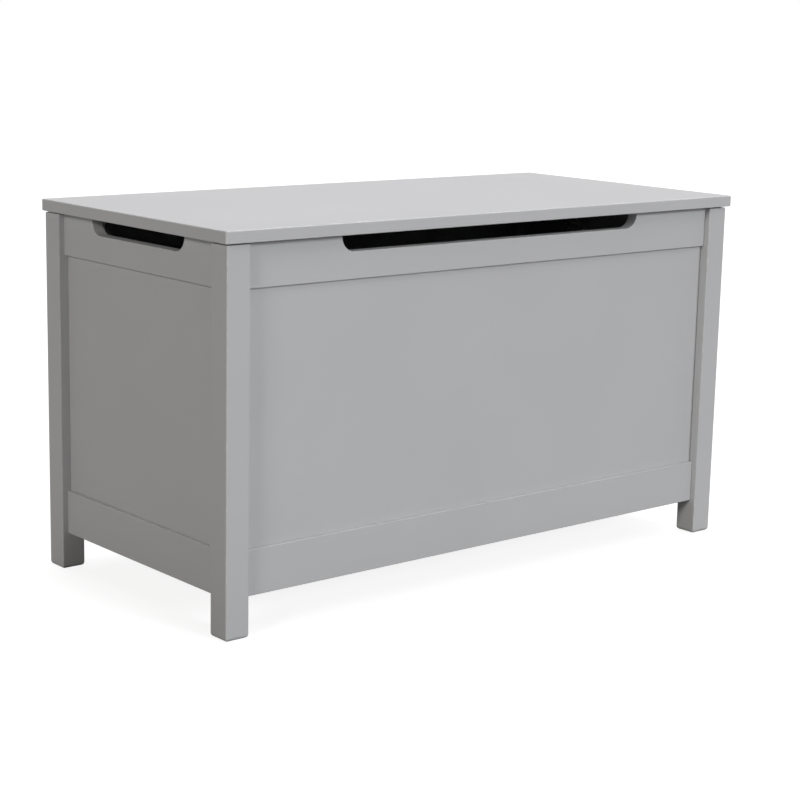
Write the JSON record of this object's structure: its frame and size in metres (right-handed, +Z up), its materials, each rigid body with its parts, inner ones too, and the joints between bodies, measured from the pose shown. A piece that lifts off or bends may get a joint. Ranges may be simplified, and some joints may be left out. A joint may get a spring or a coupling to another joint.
{
  "type": "toy box",
  "caption": "Painted wooden toy box with square legs, framed panel sides, finger slots under a flat hinged lid, and folding lid stays.",
  "frame": {"origin": "on the floor, under the middle of the whole object's footprint, hinge barrels included", "axes": "+X to the right as seen from the front, +Y from the front to the hinges at the rear, +Z up"},
  "size_m": [0.86, 0.4174, 0.485],
  "materials": {
    "painted_wood": "satin pale grey paint on solid wood and board",
    "zinc_plated_steel": "bright zinc plated",
    "cast_zinc": "dull die-cast zinc"
  },
  "bodies": {
    "root": {"leg_front_left": "painted_wood", "leg_front_right": "painted_wood", "leg_rear_left": "painted_wood", "leg_rear_right": "painted_wood", "front_top_rail": "painted_wood", "front_bottom_rail": "painted_wood", "front_panel": "painted_wood", "rear_top_rail": "painted_wood", "rear_bottom_rail": "painted_wood", "rear_panel": "painted_wood", "left_top_rail": "painted_wood", "left_bottom_rail": "painted_wood", "left_panel": "painted_wood", "right_top_rail": "painted_wood", "right_bottom_rail": "painted_wood", "right_panel": "painted_wood", "base_board": "painted_wood", "base_cross_bar": "painted_wood", "hinge_left_rail_leaf": "zinc_plated_steel", "hinge_left_pin": "zinc_plated_steel", "hinge_left_rail_screw_1": "zinc_plated_steel", "hinge_left_rail_screw_2": "zinc_plated_steel", "hinge_right_rail_leaf": "zinc_plated_steel", "hinge_right_pin": "zinc_plated_steel", "hinge_right_rail_screw_1": "zinc_plated_steel", "hinge_right_rail_screw_2": "zinc_plated_steel", "cam_lock_front_top_left": "cast_zinc", "cam_lock_front_top_right": "cast_zinc", "cam_lock_front_bottom_left": "cast_zinc", "cam_lock_front_bottom_right": "cast_zinc", "cam_lock_rear_top_left": "cast_zinc", "cam_lock_rear_top_right": "cast_zinc", "cam_lock_rear_bottom_left": "cast_zinc", "cam_lock_rear_bottom_right": "cast_zinc", "cam_bolt_front_top_left": "zinc_plated_steel", "cam_bolt_front_top_right": "zinc_plated_steel", "cam_bolt_front_bottom_left": "zinc_plated_steel", "cam_bolt_front_bottom_right": "zinc_plated_steel", "cam_bolt_rear_top_left": "zinc_plated_steel", "cam_bolt_rear_top_right": "zinc_plated_steel", "cam_bolt_rear_bottom_left": "zinc_plated_steel", "cam_bolt_rear_bottom_right": "zinc_plated_steel", "left_stay_box_bracket": "zinc_plated_steel", "right_stay_box_bracket": "zinc_plated_steel"},
    "lid": {"lid": "painted_wood", "hinge_left_lid_leaf": "zinc_plated_steel", "hinge_left_lid_screw_1": "zinc_plated_steel", "hinge_left_lid_screw_2": "zinc_plated_steel", "hinge_right_lid_leaf": "zinc_plated_steel", "hinge_right_lid_screw_1": "zinc_plated_steel", "hinge_right_lid_screw_2": "zinc_plated_steel", "left_stay_lid_bracket": "zinc_plated_steel", "right_stay_lid_bracket": "zinc_plated_steel"},
    "left_lower_arm": {"left_stay_lower_arm": "zinc_plated_steel", "left_stay_elbow_rivet": "zinc_plated_steel"},
    "left_upper_arm": {"left_stay_upper_arm": "zinc_plated_steel"},
    "right_lower_arm": {"right_stay_lower_arm": "zinc_plated_steel", "right_stay_elbow_rivet": "zinc_plated_steel"},
    "right_upper_arm": {"right_stay_upper_arm": "zinc_plated_steel"}
  },
  "joints": [
    {"name": "lid_hinge", "type": "hinge", "parent": "root", "child": "lid", "pos_m": [0, 0.20525, 0.469], "axis": [-1, 0, 0], "range_deg": [0, 85]},
    {"name": "left_stay_fold", "type": "hinge", "parent": "root", "child": "left_lower_arm", "pos_m": [-0.39, 0.12925, 0.429], "axis": [-1, 0, 0], "range_deg": [0, 85]},
    {"name": "left_stay_elbow", "type": "hinge", "parent": "left_lower_arm", "child": "left_upper_arm", "pos_m": [-0.39, 0.03725, 0.409], "axis": [-1, 0, 0], "range_deg": [-85, 0]},
    {"name": "right_stay_fold", "type": "hinge", "parent": "root", "child": "right_lower_arm", "pos_m": [0.39, 0.12925, 0.429], "axis": [-1, 0, 0], "range_deg": [0, 85]},
    {"name": "right_stay_elbow", "type": "hinge", "parent": "right_lower_arm", "child": "right_upper_arm", "pos_m": [0.39, 0.03725, 0.409], "axis": [-1, 0, 0], "range_deg": [-85, 0]}
  ],
  "couplings": [
    {"joint": "left_stay_fold", "follows": "lid_hinge", "ratio": 1},
    {"joint": "left_stay_elbow", "follows": "lid_hinge", "ratio": -1},
    {"joint": "right_stay_fold", "follows": "lid_hinge", "ratio": 1},
    {"joint": "right_stay_elbow", "follows": "lid_hinge", "ratio": -1}
  ]
}
